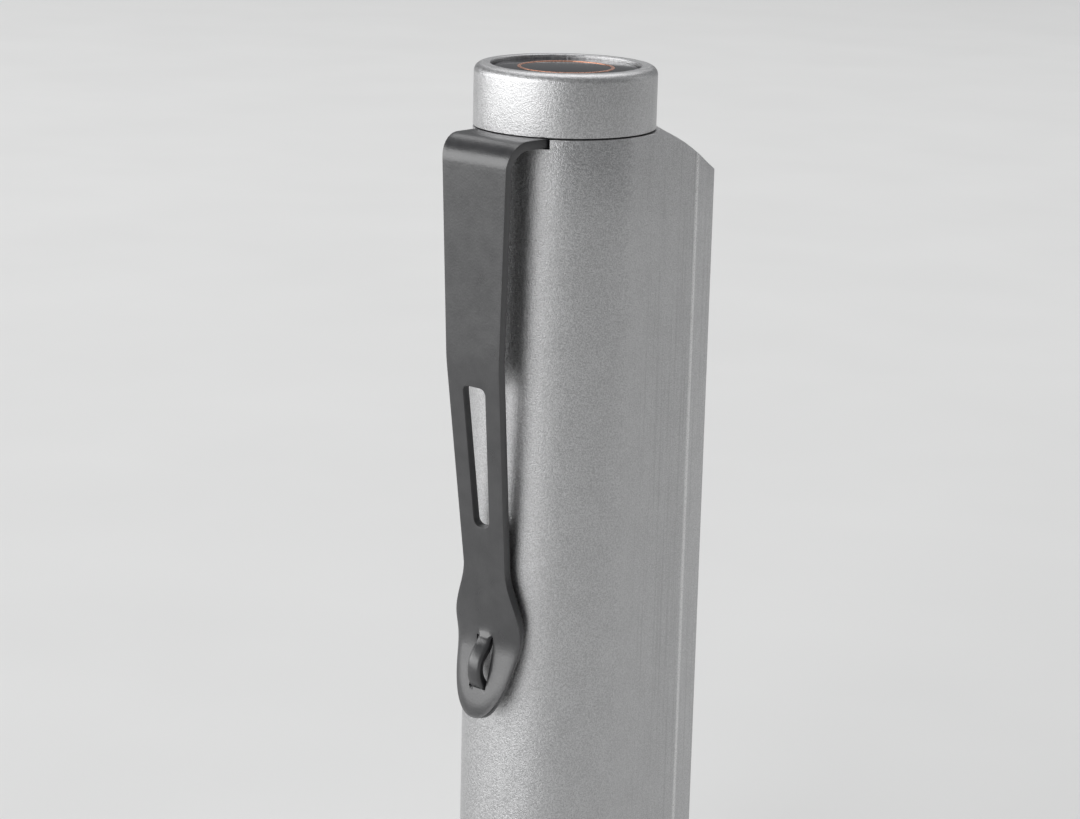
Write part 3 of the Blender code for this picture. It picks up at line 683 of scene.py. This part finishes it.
def buildCap():
    size = capSize
    r, skirt, recess = size["radius"], size["skirtRadius"], size["recessRadius"]
    bore, inner, seal = size["skirtBore"], size["innerBore"], size["grooveRadius"]
    lip = seam - size["lowerEdge"]
    floorTop = discLow.z - size["floorDrop"]
    floorFoot = floorTop - size["floorThickness"]
    grooveFoot = seam - size["grooveDrop"] - size["grooveHalf"]
    grooveTop = seam - size["grooveDrop"] + size["grooveHalf"]
    return turnPiece("tailCap", [
        (r, lip, size["lipRound"]), (r, capTop, size["rimRound"]),
        (recess, capTop, size["recessRound"]), (recess, floorTop, size["floorRound"]),
        (size["stemHole"], floorTop, size["holeRound"]), (size["stemHole"], floorFoot, 0),
        (inner, floorFoot, 0), (inner, capFoot + size["boreStep"], 0),
        (bore, capFoot + size["boreStep"], 0), (bore, capFoot, size["holeRound"]),
        (skirt, capFoot, size["footRound"]), (skirt, grooveFoot, size["grooveRound"]),
        (seal, grooveFoot, size["grooveRound"]), (seal, grooveTop, size["grooveRound"]),
        (skirt, grooveTop, size["grooveRound"]), (skirt, lip, 0)], segments=8)


threadSize = {
    "start": 0.0050,             # below the seam
    "foot": 0.0006,              # above the skirt's foot
    "runOut": 0.0002,            # kept free above the last turn
    "pitch": 0.0010,
    "rise": 0.0002,              # out of the skirt
    "root": 0.0001,              # sunk in it
    "flank": 0.36,               # shares of the pitch
    "crest": 0.14,
    "steps": 96,
    "smoothDegrees": 40,
}


def buildThread():
    # a helical ridge on the skirt
    size = threadSize
    pitch, rise, root = size["pitch"], size["rise"], size["root"]
    flank, crest = pitch * size["flank"], pitch * size["crest"]
    room = seam - size["start"] - capFoot - size["foot"] - size["runOut"]
    thread = drawSection("capThread", capSize["skirtRadius"] - root, capFoot + size["foot"], [
        (root + rise, flank), (0, crest), (-root - rise, flank), (0, -(2 * flank + crest))])
    bpy.ops.mesh.select_all(action="SELECT")
    bpy.ops.mesh.remove_doubles(threshold=tiny)
    bpy.ops.object.mode_set(mode="OBJECT")
    addModifier(thread, "SCREW", angle=math.tau, screw_offset=pitch, steps=size["steps"],
                render_steps=size["steps"], iterations=int(room / pitch),
                use_merge_vertices=True, merge_threshold=tiny)
    bpy.ops.object.mode_set(mode="EDIT")
    bpy.ops.mesh.select_all(action="SELECT")
    bpy.ops.mesh.remove_doubles(threshold=tiny)
    bpy.ops.mesh.fill_holes(sides=4)     # the ridge's two ends
    bpy.ops.mesh.normals_make_consistent(inside=False)
    bpy.ops.object.mode_set(mode="OBJECT")
    smoothPiece(thread, size["smoothDegrees"])
    return thread


sealSize = {"capWire": 0.0010, "lensWire": 0.0008, "roundness": 0.98}


def buildSeal(name, node, wire):
    # a rubber ring that sits where its CAD node sits
    low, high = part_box(node)
    half = wire / 2
    radius, middle, soft = high.x - half, (low.z + high.z) / 2, half * sealSize["roundness"]
    return turnPiece(name, [
        (radius - half, middle - half, soft), (radius + half, middle - half, soft),
        (radius + half, middle + half, soft), (radius - half, middle + half, soft)],
        steps=96, segments=6)


dress(buildCap(), looks["blasted_aluminium"], "cap", ["tail_cap"])
dress(buildThread(), looks["blasted_aluminium"], "cap")
dress(buildSeal("capSeal", "cap_seal", sealSize["capWire"]), looks["black_rubber"], "cap_ring",
      ["cap_seal"])
print("tail cap made")


discSize = {
    "edge": 0.00022,
    "lowerEdge": 0.00008,
    "ringRadius": 0.0051,        # of the inlaid line
    "ringHalf": 0.0002,
    "ringRise": 0.00003,
    "ringDepth": 0.0002,
    "ringEdge": 0.00002,
}


def buildDisc():
    size = discSize
    r = discHigh.x
    return turnPiece("buttonDisc", [
        (0, discHigh.z, 0), (r, discHigh.z, size["edge"]), (r, discLow.z, size["lowerEdge"]),
        (0, discLow.z, 0)], closed=False)


def buildDiscRing():
    size = discSize
    inner, outer = size["ringRadius"] - size["ringHalf"], size["ringRadius"] + size["ringHalf"]
    top = discHigh.z + size["ringRise"]
    foot = top - size["ringDepth"]
    return turnPiece("discRing", [
        (inner, top, size["ringEdge"]), (inner, foot, 0), (outer, foot, 0),
        (outer, top, size["ringEdge"])], segments=3)


dress(buildDisc(), looks["dark_glass"], "button", ["button_disc"])
dress(buildDiscRing(), copperLook("copperRing"), "button")
print("button made")


bezelSize = {
    "radius": 0.0100,
    "opening": 0.0072,
    "chamfer": 0.0008,
    "faceRound": 0.00012,
    "sideRound": 0.0002,
    "jointRound": 0.00006,
    "skirt": 0.0089,
    "skirtLength": 0.0035,
    "skirtRound": 0.0001,
    "wall": 0.0007,
    "lip": 0.0012,
}


def buildBezel():
    size = bezelSize
    r, opening, cut, skirt = size["radius"], size["opening"], size["chamfer"], size["skirt"]
    end = bezelTop + size["skirtLength"]
    inner = skirt - size["wall"]
    return turnPiece("bezelRing", [
        (opening + cut / 2, 0, size["faceRound"]), (r - cut, 0, size["faceRound"]),
        (r, cut, size["sideRound"]), (r, bezelTop, size["jointRound"]), (skirt, bezelTop, 0),
        (skirt, end, size["skirtRound"]), (inner, end, 0), (inner, size["lip"], 0),
        (opening, size["lip"], 0), (opening, cut / 2, size["faceRound"])])


lensSize = {"edge": 0.00015}


def buildLens():
    r, edge = lensHigh.x, lensSize["edge"]
    return turnPiece("frontLens", [
        (0, lensHigh.z, 0), (r, lensHigh.z, edge), (r, lensLow.z, edge),
        (0, lensLow.z, 0)], closed=False)


reflectorSize = {
    "mouth": 0.0072,
    "hole": 0.0022,
    "wall": 0.0008,
    "flange": 0.0012,
    "flangeEdge": 0.0001,
    "clearOfFlange": 1.3,        # where the outer curve ends, in flanges
    "curveSteps": 24,
}


def buildReflector():
    # a parabola with a rolled rim, and the same curve outside
    size = reflectorSize
    low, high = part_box("reflector")
    mouth, hole, wall, flange = size["mouth"], size["hole"], size["wall"], size["flange"]
    outer = high.x
    depth = high.z - low.z
    inside = []
    for step in range(size["curveSteps"] + 1):
        radius = mouth + (hole - mouth) * step / size["curveSteps"]
        share = (radius ** 2 - hole ** 2) / (mouth ** 2 - hole ** 2)
        inside.append((radius, high.z - depth * share, 0))
    outside = [(radius + wall, z, 0) for radius, z, soft in reversed(inside)
               if z > low.z + flange * size["clearOfFlange"]]
    return turnPiece("reflectorCup", inside + outside + [
        (mouth + wall / 2, low.z + flange, 0), (outer, low.z + flange, size["flangeEdge"]),
        (outer, low.z, size["flangeEdge"])])


dress(buildBezel(), looks["blasted_aluminium"], "tube", ["bezel_ring"])
dress(buildLens(), looks["clear_glass"], "tube", ["front_lens"])
dress(buildReflector(), looks["mirror_coat"], "tube", ["reflector"])
dress(buildSeal("lensSeal", "lens_seal", sealSize["lensWire"]), looks["black_rubber"], "tube",
      ["lens_seal"])
print("bezel and lens made")


# depths are counted down from the seam, and a reach is a distance from the tube's axis
clipSize = {
    "thickness": 0.00098,
    "edge": 0.00026,             # rounding of the sheet's edges
    "headAngle": math.radians(46),
    "headReach": 0.0091,         # the crescent behind the tube's lip
    "headWidth": 0.0007,
    "tabDepth": 0.00014,         # the tab's top, just under the seam
    "tabReach": 0.0094,
    "tabHalf": 0.00495,
    "top": 0.01473,              # reach of the strap's outer face at the top
    "bend": 0.0028,
    "kinkDepth": 0.0244,
    "kinkReach": 0.01436,
    "kinkRound": 0.020,
    "neckDepth": 0.0478,
    "neckReach": 0.0118,
    "neckRound": 0.020,
    "contactDepth": 0.0565,
    "contactReach": 0.0113,
    "contactRound": 0.009,
    "tipDepth": 0.0650,
    "tipReach": 0.01342,
    "strapHalf": 0.0045,
    "neckHalf": 0.0030,
    "beadDepth": 0.0546,
    "beadHalf": 0.00465,
    "crown": 0.00055,            # across the bead that bears on the tube
    "tipPower": 1.75,            # of the tip's outline along and across
    "tipRound": 0.45,
    "tipLeast": 0.004,
    "rimFall": 0.0002,           # of the tip's rolled rim
    "rimStart": 0.66,
    "rimReach": 0.4,
    "slotTop": 0.0271,
    "slotBottom": 0.0432,
    "slotTopHalf": 0.00164,
    "slotBottomHalf": 0.00112,
    "slotCorner": 0.0008,
    "loopTop": 0.0559,
    "loopBottom": 0.0617,
    "loopHalf": 0.00100,
    "loopCut": 0.00020,          # the slits beside the strip
    "loopRound": 0.00038,
    "loopRise": 0.00158,
    "loopPeak": 0.45,            # share of the strip above its highest place
    "loopPower": 2.3,            # of the fall below it
    "loopCrown": 0.0002,
    "loopSwell": 0.00022,        # of the sheet above the strip
    "swellAbove": 0.0010,        # from the strip's root, up and down
    "swellBelow": 0.0009,
    "bevelAngle": math.radians(55),
    "smoothDegrees": 50,
}

# the flat blank's grid: rows down the clip and lines across half of it
gridSize = {
    "bendFoot": 0.0034,          # rows of the bend's arc down to here
    "strapStart": 0.0036,        # and evenly spread ones from here on
    "strapRows": 40,
    "cornerRows": 12,
    "cornerReach": 1.1,          # in slot corners, from the slot's end to its even rows
    "slotRows": 20,
    "belowSlot": 0.0005,
    "neckRows": 26,
    "aboveLoop": 0.0003,
    "loopRows": 36,
    "tipRows": 14,
    "stripLines": (0, 0.3, 0.55, 1),  # as shares of the strip's half width
    "slotStrip": 0.6,            # the strip's share in the slot's half width
    "sheetLines": 6,             # from the strip to the strap's edge
    "closeUp": 1.3,              # near the tip's end the lines take shares of the strap
    "closeInner": 0.6,
    "closeStrip": 0.45,
}


def ease(value, low, high):
    # 0 up to low, 1 from high on, and a soft step between them
    share = min(max((value - low) / (high - low), 0), 1)
    return share * share * (3 - 2 * share)


def readLine(value, points):
    # the height of a bent line of (place, height) points
    for (low, start), (high, end) in zip(points, points[1:]):
        if value <= high:
            share = min(max((value - low) / (high - low), 0), 1)
            return start + (end - start) * share
    return points[-1][1]


def clipSide():
    # the outer face seen from the side, as (reach, depth) points
    size = clipSize
    tab = size["tabDepth"]
    corners = [(size["tabReach"], tab, 0), (size["top"], tab, size["bend"]),
               (size["kinkReach"], size["kinkDepth"], size["kinkRound"]),
               (size["neckReach"], size["neckDepth"], size["neckRound"]),
               (size["contactReach"], size["contactDepth"], size["contactRound"]),
               (size["tipReach"], size["tipDepth"], 0)]
    return [tuple(p) for p in softCorners(corners, 10)]


def pastBead(depth):
    size = clipSize
    return (depth - size["beadDepth"]) / (size["tipDepth"] - size["beadDepth"])


def strapHalf(depth):
    size = clipSize
    if depth <= size["neckDepth"]:
        return readLine(depth, [(size["tabDepth"], size["tabHalf"]),
                                (size["bend"], size["strapHalf"]),
                                (size["neckDepth"], size["neckHalf"])])
    if depth <= size["beadDepth"]:
        swell = ease(depth, size["neckDepth"], size["beadDepth"])
        return size["neckHalf"] + (size["beadHalf"] - size["neckHalf"]) * swell
    left = max(1 - pastBead(depth) ** size["tipPower"], size["tipLeast"])
    return size["beadHalf"] * left ** size["tipRound"]


def slotHalf(depth):
    size = clipSize
    width = readLine(depth, [(size["slotTop"], size["slotTopHalf"]),
                             (size["slotBottom"], size["slotBottomHalf"])])
    fromEnd = min(depth - size["slotTop"], size["slotBottom"] - depth)
    corner = min(max(1 - fromEnd / size["slotCorner"], 0), 1)
    return width - size["slotCorner"] * (1 - math.sqrt(1 - corner ** 2))


def spread(start, end, count):
    # evenly placed rows, without the last
    return [start + (end - start) * i / count for i in range(count)]


def rounded(start, end, count):
    # rows that are closer at both ends, without the last
    return [start + (end - start) * (1 - math.cos(math.pi * i / count)) / 2
            for i in range(count)]


def clipDepths():
    # rows below the bend: each feature has its own, with more where it is round
    size, grid = clipSize, gridSize
    corner, slotTop, slotBottom = size["slotCorner"], size["slotTop"], size["slotBottom"]
    loopTop, loopBottom = size["loopTop"], size["loopBottom"]
    count, inset = grid["cornerRows"], corner * grid["cornerReach"]
    rows = spread(grid["strapStart"], slotTop - corner / 2, grid["strapRows"])
    rows += rounded(slotTop, slotTop + 2 * corner, count)[:count // 2 + 1]
    rows += spread(slotTop + inset, slotBottom - inset, grid["slotRows"])
    rows += rounded(slotBottom - 2 * corner, slotBottom, count)[count // 2:] + [slotBottom]
    rows += spread(slotBottom + grid["belowSlot"], loopTop - grid["aboveLoop"], grid["neckRows"])
    rows += spread(loopTop, loopBottom, grid["loopRows"]) + [loopBottom]
    last, count = size["tipDepth"] - loopBottom, grid["tipRows"]
    return rows + [loopBottom + last * math.sin(math.pi / 2 * i / count)
                   for i in range(1, count + 1)]


def clipRows():
    # (reach, depth) of every row: two for the head, the bend's arc, then the strap
    size = clipSize
    side = clipSide()
    tab = side[0][1]
    head = [(size["headReach"] - size["headWidth"], tab), (size["headReach"], tab)]
    bend = [p for p in side if p[1] < gridSize["bendFoot"]]
    below = [(depth, reach) for reach, depth in side if depth > size["bend"] / 2]
    return head + bend + [(readLine(depth, below), depth) for depth in clipDepths()]


def clipColumns(reach, depth, inHead):
    # distances from the middle: the loop's strip, the slot or loop's edge, the strap, the horn
    size, grid = clipSize, gridSize
    strap = strapHalf(depth)
    strip, inner = size["loopHalf"], size["loopHalf"] + size["loopCut"]
    if size["slotTop"] <= depth <= size["slotBottom"]:
        inner = slotHalf(depth)
        strip = inner * grid["slotStrip"]
    if strap < inner * grid["closeUp"]:
        inner, strip = strap * grid["closeInner"], strap * grid["closeStrip"]
    horn = reach * math.sin(size["headAngle"]) if inHead else strap
    lines = grid["sheetLines"]
    sheet = [inner + (strap - inner) * i / lines for i in range(lines + 1)]
    return [strip * share for share in grid["stripLines"]] + sheet + [(strap + horn) / 2, horn]


def loopLift(depth, x):
    # the sheet swells a little above the slits, and the strip between them bows outward
    size = clipSize
    top, bottom, half = size["loopTop"], size["loopBottom"], size["loopHalf"]
    lift = (size["loopSwell"] * ease(depth, top - size["swellAbove"], top)
            * ease(depth, top + size["swellBelow"], top) * ease(abs(x), half * 1.6, half * 0.4))
    if top <= depth <= bottom and abs(x) <= half + tiny:
        share = (depth - top) / (bottom - top)
        peak = size["loopPeak"]
        if share < peak:
            arch = math.sin(math.pi / 2 * share / peak)
        else:
            arch = 1 - ((share - peak) / (1 - peak)) ** size["loopPower"]
        lift += arch * (size["loopRise"] - size["loopCrown"] * (x / half) ** 2)
    return lift


def clipPoint(reach, depth, x, inHead):
    size = clipSize
    if inHead:
        return Vector((x, -math.sqrt(reach ** 2 - x ** 2), seam - depth))
    curve = ease(depth, size["neckDepth"], size["contactDepth"]) ** 2
    curve *= 1 - ease(depth, size["contactDepth"], size["tipDepth"])
    rise = -size["crown"] * curve * (x / strapHalf(depth)) ** 2
    if depth > size["beadDepth"]:
        # the flared tip rolls over toward its rim
        past = pastBead(depth)
        across = (abs(x) / size["beadHalf"]) ** (1 / size["tipRound"])
        outward = min(across + past ** size["tipPower"], 1)
        rim = ease(outward, size["rimStart"], 1.0) ** 2
        rise -= size["rimFall"] * rim * ease(past, 0.0, size["rimReach"])
    return Vector((x, -(reach + rise + loopLift(depth, x)), seam - depth))


def clipIsOpen(row, depth, fromEdge):
    # fromEdge counts faces in from the horn: two outside the strap, the sheet's, the slit's
    size = clipSize
    slit = 2 + gridSize["sheetLines"]
    if fromEdge < 2:
        return row >= 1
    if size["slotTop"] < depth < size["slotBottom"]:
        return fromEdge >= slit
    return size["loopTop"] < depth < size["loopBottom"] and fromEdge == slit


def layBlank(clip, stations, half):
    # moves each point of the flat grid to its place and opens slot, slits and head
    rows, columns = len(stations) - 1, 2 * half
    work = bmesh.from_edit_mesh(clip.data)
    for vert in work.verts:
        across = round((vert.co.x + 0.5) * columns) - half
        row = round((0.5 - vert.co.y) * rows)
        reach, depth = stations[row]
        offsets = clipColumns(reach, depth, row < 2)
        x = math.copysign(offsets[abs(across)], across)
        vert.co = clipPoint(reach, depth, x, row < 2)
    for index, face in enumerate(work.faces):
        row = rows - 1 - index // columns
        column = index % columns
        depth = (stations[row][1] + stations[row + 1][1]) / 2
        face.select_set(clipIsOpen(row, depth, min(column, columns - 1 - column)))
    bmesh.update_edit_mesh(clip.data)
    bpy.ops.mesh.delete(type="FACE")


def roundLoop(clip):
    # the raised strip's outer edges are rounder than the sheet's
    size = clipSize
    high, low = seam - size["loopTop"] + tiny, seam - size["loopBottom"] - tiny
    deselectAll()
    bpy.context.view_layer.objects.active = clip
    bpy.ops.object.mode_set(mode="EDIT")
    bpy.ops.mesh.select_mode(type="EDGE")
    work = bmesh.from_edit_mesh(clip.data)
    for edge in work.edges:
        edge.select = all(abs(abs(v.co.x) - size["loopHalf"]) < tiny and low < v.co.z < high
                          for v in edge.verts)
    bmesh.update_edit_mesh(clip.data)
    bpy.ops.mesh.bevel(offset=size["loopRound"], segments=4, affect="EDGES", clamp_overlap=True)
    bpy.ops.mesh.select_mode(type="VERT")
    bpy.ops.object.mode_set(mode="OBJECT")


def buildClip():
    # a flat blank, one vertex for each row and column, is bent into place,
    # opened, given its thickness and rounded along every edge
    size = clipSize
    stations = clipRows()
    half = len(clipColumns(*stations[1], True)) - 1
    deselectAll()
    bpy.ops.mesh.primitive_grid_add(x_subdivisions=2 * half,
                                    y_subdivisions=len(stations) - 1, size=1)
    clip = startPiece("pocketClip")
    layBlank(clip, stations, half)
    tidyMesh(tiny / 10)
    outward = sum(face.normal.y * face.calc_area()
                  for face in bmesh.from_edit_mesh(clip.data).faces)
    if outward > 0:              # the strap's outer face looks toward -Y
        bpy.ops.mesh.flip_normals()
    bpy.ops.object.mode_set(mode="OBJECT")
    addModifier(clip, "SOLIDIFY", thickness=size["thickness"], offset=-1, use_even_offset=True)
    roundLoop(clip)
    addModifier(clip, "BEVEL", width=size["edge"], segments=3, limit_method="ANGLE",
                angle_limit=size["bevelAngle"], use_clamp_overlap=True)
    smoothPiece(clip, size["smoothDegrees"])
    return clip


dress(buildClip(), looks["coated_steel"], "clip", ["pocket_clip"])
print("pocket clip made")


# the inner nodes keep their CAD meshes and get their materials
slotOf = {row["node"]: row["material_slot"] for row in frame["record"]["subparts"]}
for name, node in frame["nodes"].items():
    if not node.hide_render:
        node.data.materials.clear()
        node.data.materials.append(looks[slotOf[name]])
print("inner nodes dressed")


# azimuth is counted from the clip's side toward +X
stageSize = {
    "floorSize": 8,
    "floorLight": (0.81, 0.81, 0.805),
    "floorDark": (0.79, 0.79, 0.785),
    "world": (0.80, 0.81, 0.82),
    "worldStrength": 0.34,
    "key": {"azimuth": -30, "elevation": 15, "distance": 1.6, "size": (3.4, 0.98), "power": 34,
            "aim": (0, 0, 0.06)},
    "fill": {"azimuth": 155, "elevation": 18, "distance": 1.2, "size": (0.3, 0.6), "power": 0.6,
             "aim": (0, 0, 0.06)},
    "top": {"azimuth": 215, "elevation": 75, "distance": 1.7, "size": (1.8, 1.8), "power": 17.5,
            "aim": (-0.25, 0.3, 0)},
}


def buildFloor():
    deselectAll()
    bpy.ops.mesh.primitive_plane_add(size=stageSize["floorSize"])
    floor = bpy.context.object
    floor.name = "floor"
    look = Look("paleFloor", (0.80, 0.80, 0.795), 0.7)
    tone = look.ramp(look.grain(0.05), 0.3, 0.7)
    shade = look.blend(tone, stageSize["floorDark"], stageSize["floorLight"])
    floor.data.materials.append(look.use(Base_Color=shade))


def buildLight(name, azimuth, elevation, distance, size, power, aim):
    a, e = math.radians(azimuth), math.radians(elevation)
    back = Vector((math.sin(a) * math.cos(e), -math.cos(a) * math.cos(e), math.sin(e)))
    light = bpy.data.lights.new(name, "AREA")
    light.shape = "RECTANGLE"
    light.size, light.size_y = size
    light.energy = power
    lamp = bpy.data.objects.new(name, light)
    bpy.context.scene.collection.objects.link(lamp)
    lamp.visible_camera = False
    lamp.location = Vector(aim) + back * distance
    lamp.rotation_mode = "QUATERNION"
    lamp.rotation_quaternion = (-back).to_track_quat("-Z", "Y")


def buildWorld():
    world = bpy.data.worlds.new("studio")
    bpy.context.scene.world = world
    world.use_nodes = True
    ground = world.node_tree.nodes["Background"]
    ground.inputs["Color"].default_value = (*stageSize["world"], 1)
    ground.inputs["Strength"].default_value = stageSize["worldStrength"]


# the photo's view, fitted to the cap, the seam, the keel's edges and the tube's sides
cameraSize = {
    "place": (0.196991, -0.234765, 0.143636),
    "aim": (-0.001455, -0.001236, 0.066789),
    "roll": math.radians(1.4152),
    "lens": 94.303,
    "sensor": 36,
    "clip": (0.01, 50),
}


def buildCamera():
    size = cameraSize
    data = bpy.data.cameras.new("camera")
    data.lens = size["lens"]
    data.sensor_width = size["sensor"]
    data.clip_start, data.clip_end = size["clip"]
    camera = bpy.data.objects.new("camera", data)
    bpy.context.scene.collection.objects.link(camera)
    camera.location = size["place"]
    ahead = Vector(size["aim"]) - Vector(size["place"])
    camera.rotation_mode = "QUATERNION"
    camera.rotation_quaternion = (ahead.to_track_quat("-Z", "Y")
                                  @ Quaternion((0, 0, 1), size["roll"]))
    bpy.context.scene.camera = camera


buildFloor()
for lampName in ("key", "fill", "top"):
    buildLight(lampName, **stageSize[lampName])
buildWorld()
buildCamera()
bpy.context.scene.view_settings.view_transform = "Standard"
print("stage made")
